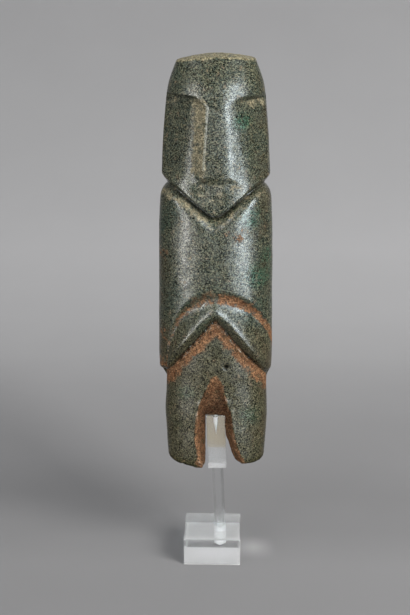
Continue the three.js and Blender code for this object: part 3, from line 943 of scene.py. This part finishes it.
def with_deposits(s, n, rough_edge, body):
    """Adds the rust-coloured deposits, and painted shade in the notch, the hollows and the pit, and returns
    how thick the deposits are.
    """
    rust = s.blend(n["crumbs"], RUST)
    lumps = s.between(s.noise(n["place"], *LUMP_NOISE), *LUMP_RANGE)
    rust = s.mix(lumps, rust, colour(RUST_LUMPS))
    broken = s.math("MINIMUM", s.between(n["side"], *GROOVE_SIDE_RANGE),
                    s.between(n["away"], *GROOVE_APEX_RANGE))
    cut = s.larger(s.mask("step"), s.times(s.mask("groove"), broken), s.mask("notch"))
    patchy = s.math("MULTIPLY_ADD", s.math("SUBTRACT", n["grain"], 0.5), DEPOSIT_GRAIN, cut)
    worn = s.between(s.math("MULTIPLY_ADD", rough_edge, DEPOSIT_BREAKS, patchy), *WORN_RANGE)
    body = s.mix(worn, body, rust)
    # Painted shade deep inside the notch, near its centre plane
    inner = s.times(s.mask("notch"), s.between(n["depth"], *PAINTED_NOTCH_SHADE_DEPTH))
    body = s.mix(s.times(inner, PAINTED_NOTCH_SHADE_SHARE), body, colour(PAINTED_NOTCH_SHADE))
    # Painted shade in the hollows, except under the deposits
    shade = s.times(s.mask("hollow"), s.math("SUBTRACT", 1.0, worn))
    body = s.mix(s.times(shade, PAINTED_HOLLOW_SHADE_SHARE), body, colour(PAINTED_HOLLOW_SHADE))
    # Painted shade in the pit
    return s.mix(s.mask("pit"), body, colour(PAINTED_PIT_SHADE)), worn


def with_dust(s, n, rough_edge, body):
    """Adds the pale dust and the worn edges, lightened as a painted highlight, and returns how thick the dust
    is.
    """
    neck = s.times(s.mask("neck"), s.between(n["side"], *NECK_SIDE_RANGE))
    top = s.times(s.mask("top"), TOP_DUST_SHARE)
    cheek = s.times(s.mask("cheek"), CHEEK_DUST_SHARE)
    brow = s.times(s.mask("brow"), BROW_DUST_SHARE)
    dust = s.larger(top, cheek, brow, neck)
    dust = s.between(s.math("MULTIPLY_ADD", rough_edge, DUST_BREAKS, dust), *DUST_RANGE)
    tan = s.mix(s.mask("top"), s.blend(n["crumbs"], DUST), s.blend(n["crumbs"], TOP_DUST))
    body = s.mix(dust, body, tan)
    # Worn edges, lightened as a painted highlight along the ridges and the nose's left edge
    rim = s.between(s.math("MULTIPLY_ADD", rough_edge, WORN_EDGE_AND_HIGHLIGHT_BREAKS, s.mask("ridge")), *WORN_EDGE_AND_HIGHLIGHT_RANGE)
    return s.mix(rim, body, s.blend(n["crumbs"], WORN_EDGES_AND_HIGHLIGHT)), dust


def stone_material():
    s = Shader("speckled_greenstone")
    n = stone_noises(s)
    speckle = s.between(s.math("MULTIPLY_ADD", n["fine"], FINE_SHARE, n["grain"]), *SPECKLE_RANGE)
    rough_edge = s.math("SUBTRACT", n["spread"], 0.5)
    body = speckled(s, n, speckle)
    body, worn = with_deposits(s, n, rough_edge, body)
    body, dust = with_dust(s, n, rough_edge, body)
    s.set(s.surface.inputs["Base Color"], body)

    polish = s.between(s.noise(n["place"], *POLISH_NOISE), *POLISH_RANGE)
    gloss = s.math("MULTIPLY_ADD", speckle, GRAIN_ROUGHNESS, polish)
    matte = s.larger(worn, dust, s.mask("raw"), s.mask("pit"))
    s.set(s.surface.inputs["Roughness"], s.math("MULTIPLY_ADD", matte, MATTE_ROUGHNESS, gloss))
    shine = s.between(matte, *SHINE_RANGE)
    brighter_grains = s.math("MULTIPLY_ADD", speckle, *GRAIN_SHINE)
    s.set(s.surface.inputs["Specular IOR Level"], s.times(shine, brighter_grains))
    s.bump(STONE_BUMP, s.math("MULTIPLY_ADD", n["fine"], BUMP_FINE_SHARE, n["grain"]))
    return s.material


def acrylic_material(name, finish):
    """Clear acrylic: see-through by plain values, with a faint ripple in its polish and its own haze."""
    haze, roughness = finish
    s = Shader(name)
    shader = s.surface.inputs
    shader["Transmission Weight"].default_value = 1 - haze
    shader["Alpha"].default_value = CLEAR_ALPHA + (1 - CLEAR_ALPHA) * haze
    shader["IOR"].default_value = ACRYLIC_IOR
    shader["Roughness"].default_value = roughness
    ripple = s.noise(s.place(), *RIPPLES)
    s.set(shader["Base Color"], s.mix(ripple, *CLEAR_TINTS))
    s.bump(RIPPLE_BUMP, ripple)
    return s


def stained_acrylic(low, high):
    """The cradle's acrylic, with its back face yellowed above a height."""
    s = acrylic_material("stained_acrylic", STAINED_FINISH)
    place = s.node("ShaderNodeSeparateXYZ", {0: s.place()}).outputs
    back = high.y / MM
    edge = low.z / MM + STAIN_LOW
    behind = s.between(place["Y"], back - STAIN_BEHIND[0], back - STAIN_BEHIND[1])
    raised = s.between(place["Z"], edge - STAIN_FADE, edge + STAIN_FADE)
    tan = s.blend(s.noise(s.place(), *STAIN_PATCHES), STAIN_COLOURS)
    s.set(s.surface.inputs["Base Color"], s.mix(s.times(behind, raised), CRADLE_TINT, tan))
    return s.material


def stand_axis(node):
    """Centre, lean in radians, thickness and length of a leaning node, from its box."""
    low, high = (Vector(v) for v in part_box(node))
    size = high - low
    thick = size.y
    lean = 0.0
    for _ in range(LEAN_ROUNDS):
        length = (size.z - thick * math.sin(lean)) / math.cos(lean)
        lean = math.asin((size.x - thick * math.cos(lean)) / length)
    return (low + high) / 2, lean, thick, length


def leaning(centre, lean):
    return Matrix.Translation(centre) @ Matrix.Rotation(-lean, 4, "Y")


def finished_mesh(name, made, matrix):
    made.transform(matrix)
    bmesh.ops.recalc_face_normals(made, faces=made.faces)
    mesh = bpy.data.meshes.new(name)
    made.to_mesh(mesh)
    made.free()
    return mesh


def revolved(name, profile, sides, matrix):
    """A closed surface turned about its own Z from (radius, height) pairs that start and end on it."""
    made = bmesh.new()
    turns = [2 * math.pi * i / sides for i in range(sides)]
    rings = []
    for radius, height in profile:
        if radius == 0:
            rings.append([made.verts.new((0, 0, height))])
        else:
            ring = [(radius * math.cos(a), radius * math.sin(a), height) for a in turns]
            rings.append([made.verts.new(point) for point in ring])
    for lower, upper in zip(rings, rings[1:]):
        for i in range(sides):
            j = (i + 1) % sides
            below = [lower[i % len(lower)], lower[j % len(lower)]]
            above = [upper[j % len(upper)], upper[i % len(upper)]]
            made.faces.new(list(dict.fromkeys(below + above)))
    return finished_mesh(name, made, matrix)


def bevelled_block(name, outline, depth, bevel, matrix, matt_above):
    """An outline in X and Z run along Y, with its broken edges in the second material above a height, whose
    frosted white also serves as a painted highlight along the edges.
    """
    made = bmesh.new()
    front = [made.verts.new((x, -depth / 2, z)) for x, z in outline]
    back = [made.verts.new((x, depth / 2, z)) for x, z in outline]
    made.faces.new(front)
    made.faces.new(back[::-1])
    for i in range(len(outline)):
        j = (i + 1) % len(outline)
        made.faces.new([front[j], front[i], back[i], back[j]])
    bmesh.ops.bevel(made, geom=list(made.edges), offset=bevel, segments=BEVEL_SEGMENTS,
                    profile=BEVEL_PROFILE, affect="EDGES")
    made.normal_update()
    # Slanted edge faces above the height take the frosted material, a painted highlight along the edges
    for face in made.faces:
        slanted = max(abs(part) for part in face.normal) < EDGE_FACING
        if slanted and face.calc_center_median().z > matt_above:
            face.material_index = 1
    return finished_mesh(name, made, matrix)


def add_object(name, mesh):
    made = bpy.data.objects.new(name, mesh)
    bpy.context.scene.collection.objects.link(made)
    return made


def drilled(piece, cutter_mesh):
    """Cuts a drilled hole, whose wall takes the second material of the piece."""
    cutter = add_object("drill", cutter_mesh)
    for material in piece.data.materials:
        cutter_mesh.materials.append(material)
    for face in cutter_mesh.polygons:
        face.material_index = 1
    modifier = piece.modifiers.new("drill", "BOOLEAN")
    modifier.operation = "DIFFERENCE"
    modifier.object = cutter
    modifier.solver = "EXACT"
    graph = bpy.context.evaluated_depsgraph_get()
    mesh = bpy.data.meshes.new_from_object(piece.evaluated_get(graph))
    piece.modifiers.clear()
    piece.data = mesh
    bpy.data.objects.remove(cutter)


def finish_piece(piece, slot, *nodes):
    piece.data.shade_smooth()
    piece.data.set_sharp_from_angle(angle=math.radians(SHARP_ANGLE))
    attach(piece, "root")
    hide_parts(*nodes)


def make_rod(clear, axis, radius, end):
    bevel = EDGE_BEVEL * MM
    profile = [(0, -end), (radius - bevel, -end), (radius, -end + bevel),
               (radius, end - bevel), (radius - bevel, end), (0, end)]
    rod = add_object("rod", revolved("rod", profile, ROUND_SIDES, axis))
    rod.data.materials.append(clear)
    finish_piece(rod, "clear_acrylic", "stand_rod")


def make_base(frosted, axis, radius, end):
    low, high = (Vector(v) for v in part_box("stand_base"))
    size = high - low
    half = size.x / 2
    up = size.z / 2
    square = [(-half, -up), (half, -up), (half, up), (-half, up)]
    centre = Matrix.Translation((low + high) / 2)
    base = add_object("base", bevelled_block("base", square, size.y, BASE_BEVEL * MM, centre, -size.z))
    base.data.materials.append(acrylic_material("hazy_acrylic", HAZY_FINISH).material)
    base.data.materials.append(frosted)
    glue = GLUE_GAP * MM
    hole = radius + glue
    profile = [(0, -end - glue - HOLE_TIP * MM), (hole, -end - glue), (hole, end), (0, end)]
    drilled(base, revolved("base_drill", profile, ROUND_SIDES, axis))
    finish_piece(base, "clear_acrylic", "stand_base")


def make_cradle(frosted):
    centre, lean, side, height = stand_axis("stand_cradle")
    half = side / 2
    up = height / 2
    v_half = V_HALF * MM
    outline = [(-half, -up), (half, -up), (half, up), (v_half, up), (0, up - V_DEPTH * MM),
               (-v_half, up), (-half, up)]
    axis = leaning(centre, lean)
    cradle = add_object("cradle", bevelled_block("cradle", outline, side, EDGE_BEVEL * MM, axis, 0.0))
    cradle.data.materials.append(stained_acrylic(*(Vector(v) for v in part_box("stand_cradle"))))
    cradle.data.materials.append(frosted)
    pin = PIN_RADIUS * MM
    shoulder = up - PIN_DEPTH * MM
    profile = [(0, shoulder - PIN_TIP * MM), (pin, shoulder), (pin, up + MM), (0, up + MM)]
    drilled(cradle, revolved("cradle_drill", profile, PIN_SIDES, axis))
    finish_piece(cradle, "clear_acrylic", "stand_cradle")


def make_stand():
    """Base, rod and cradle of clear acrylic, where their solids are."""
    clear = acrylic_material("clear_acrylic", CLEAR_FINISH).material
    frosted = acrylic_material("frosted_acrylic", FROSTED_FINISH).material
    centre, lean, thick, length = stand_axis("stand_rod")
    axis = leaning(centre, lean)
    make_rod(clear, axis, thick / 2, length / 2)
    make_base(frosted, axis, thick / 2, length / 2)
    make_cradle(frosted)


def make_camera():
    data = bpy.data.cameras.new("camera")
    data.sensor_width = SENSOR_LONG_SIDE
    data.lens = FOCAL_PIXELS / PHOTO_HEIGHT * SENSOR_LONG_SIDE
    data.clip_start = NEAREST_SEEN
    camera = add_object("camera", data)
    camera.location = Vector(CAMERA_PLACE) * MM
    camera.rotation_euler = (math.radians(90 - CAMERA_PITCH), 0, math.radians(CAMERA_YAW))
    bpy.context.scene.camera = camera


def sweep_mesh():
    """Floor, curve and wall in one sheet."""
    profile = [(FLOOR_FRONT, -FLOOR_GAP), (FLOOR_BACK, -FLOOR_GAP)]
    for i in range(1, SWEEP_STEPS + 1):
        turn = math.pi / 2 * i / SWEEP_STEPS
        profile.append((FLOOR_BACK + SWEEP_RADIUS * math.sin(turn), SWEEP_RADIUS * (1 - math.cos(turn))))
    profile.append((FLOOR_BACK + SWEEP_RADIUS, SWEEP_RADIUS + WALL_HEIGHT))
    sides = (-PAPER_HALF_WIDTH, PAPER_HALF_WIDTH)
    points = np.array([(x, y, z) for y, z in profile for x in sides])
    faces = np.array([(2 * i, 2 * i + 1, 2 * i + 3, 2 * i + 2) for i in range(len(profile) - 1)])
    return make_mesh("backdrop", points, faces)


def paper_material():
    """Grey paper with painted light and shade along the sheet, and soft painted marks of light and shade
    around the clear block.
    """
    s = Shader("grey_paper")
    place = s.node("ShaderNodeSeparateXYZ", {0: s.place()}).outputs
    along = s.math("ADD", place["Y"], place["Z"])
    share = s.math("DIVIDE", s.math("ADD", along, PAPER_LEAD), PAPER_SPAN)
    # Painted light and shade along the sheet
    tone = s.node("ShaderNodeValToRGB", {"Fac": share})
    stops = tone.color_ramp.elements
    while len(stops) < len(PAPER_LIGHT_AND_SHADE):
        stops.new(1.0)
    for stop, (distance, grey) in zip(stops, PAPER_LIGHT_AND_SHADE):
        stop.position = (distance + PAPER_LEAD) / PAPER_SPAN
        stop.color = colour([grey * part for part in PAPER_HUE])
    soft = s.mix(s.noise(s.place(), *MOTTLE_NOISE), *MOTTLE_TINTS)
    paper = s.mix(1.0, tone.outputs["Color"], soft, "MULTIPLY")
    for centre, half, fade, tint in PAPER_MARKS:
        across = s.math("ABSOLUTE", s.math("SUBTRACT", place["X"], centre[0]))
        ahead = s.math("ABSOLUTE", s.math("SUBTRACT", along, centre[1]))
        mark = s.times(s.between(across, half[0] + fade, half[0] - fade),
                       s.between(ahead, half[1] + fade, half[1] - fade))
        paper = s.mix(mark, paper, s.mix(1.0, paper, tint, "MULTIPLY"))
    s.set(s.surface.inputs["Base Color"], paper)
    s.surface.inputs["Roughness"].default_value = PAPER_ROUGHNESS
    s.surface.inputs["Specular IOR Level"].default_value = PAPER_SHINE
    return s.material


def make_backdrop():
    sweep = add_object("backdrop", sweep_mesh())
    sweep.data.materials.append(paper_material())


def soft_box(name, place, size, power, tint, shine):
    """An upright soft box that faces the figure, for its highlights or for its shading."""
    data = bpy.data.lights.new(name, "AREA")
    data.shape = "RECTANGLE"
    data.size = size[0]
    data.size_y = size[1]
    data.energy = power
    data.color = tint
    light = add_object(name, data)
    light.location = Vector(place)
    outward = Vector((place[0], place[1], 0 if shine else place[2] - SHADING_AIM))
    light.rotation_euler = outward.to_track_quat("Z", "Y").to_euler()
    light.visible_transmission = False
    light.visible_diffuse = not shine
    light.visible_glossy = shine


def make_lights():
    for box in SOFT_BOXES:
        soft_box(*box)
    world = bpy.data.worlds.new("world")
    world.use_nodes = True
    background = world.node_tree.nodes["Background"].inputs
    background["Color"].default_value = WORLD_COLOUR
    background["Strength"].default_value = WORLD_STRENGTH
    bpy.context.scene.world = world
    bpy.context.scene.view_settings.view_transform = "Standard"


def figure_place():
    low, high = (Vector(v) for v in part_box("idol"))
    rod_low, rod_high = (Vector(v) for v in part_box("stand_rod"))
    return ((low.x + high.x) / 2, (rod_low.y + rod_high.y) / 2, low.z - LOWEST_FOOT * MM)


make_camera()
idol = add_object("idol_stone", make_figure(figure_place()))
idol.data.materials.append(stone_material())
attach(idol, "root")
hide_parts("idol")
make_stand()
make_backdrop()
make_lights()
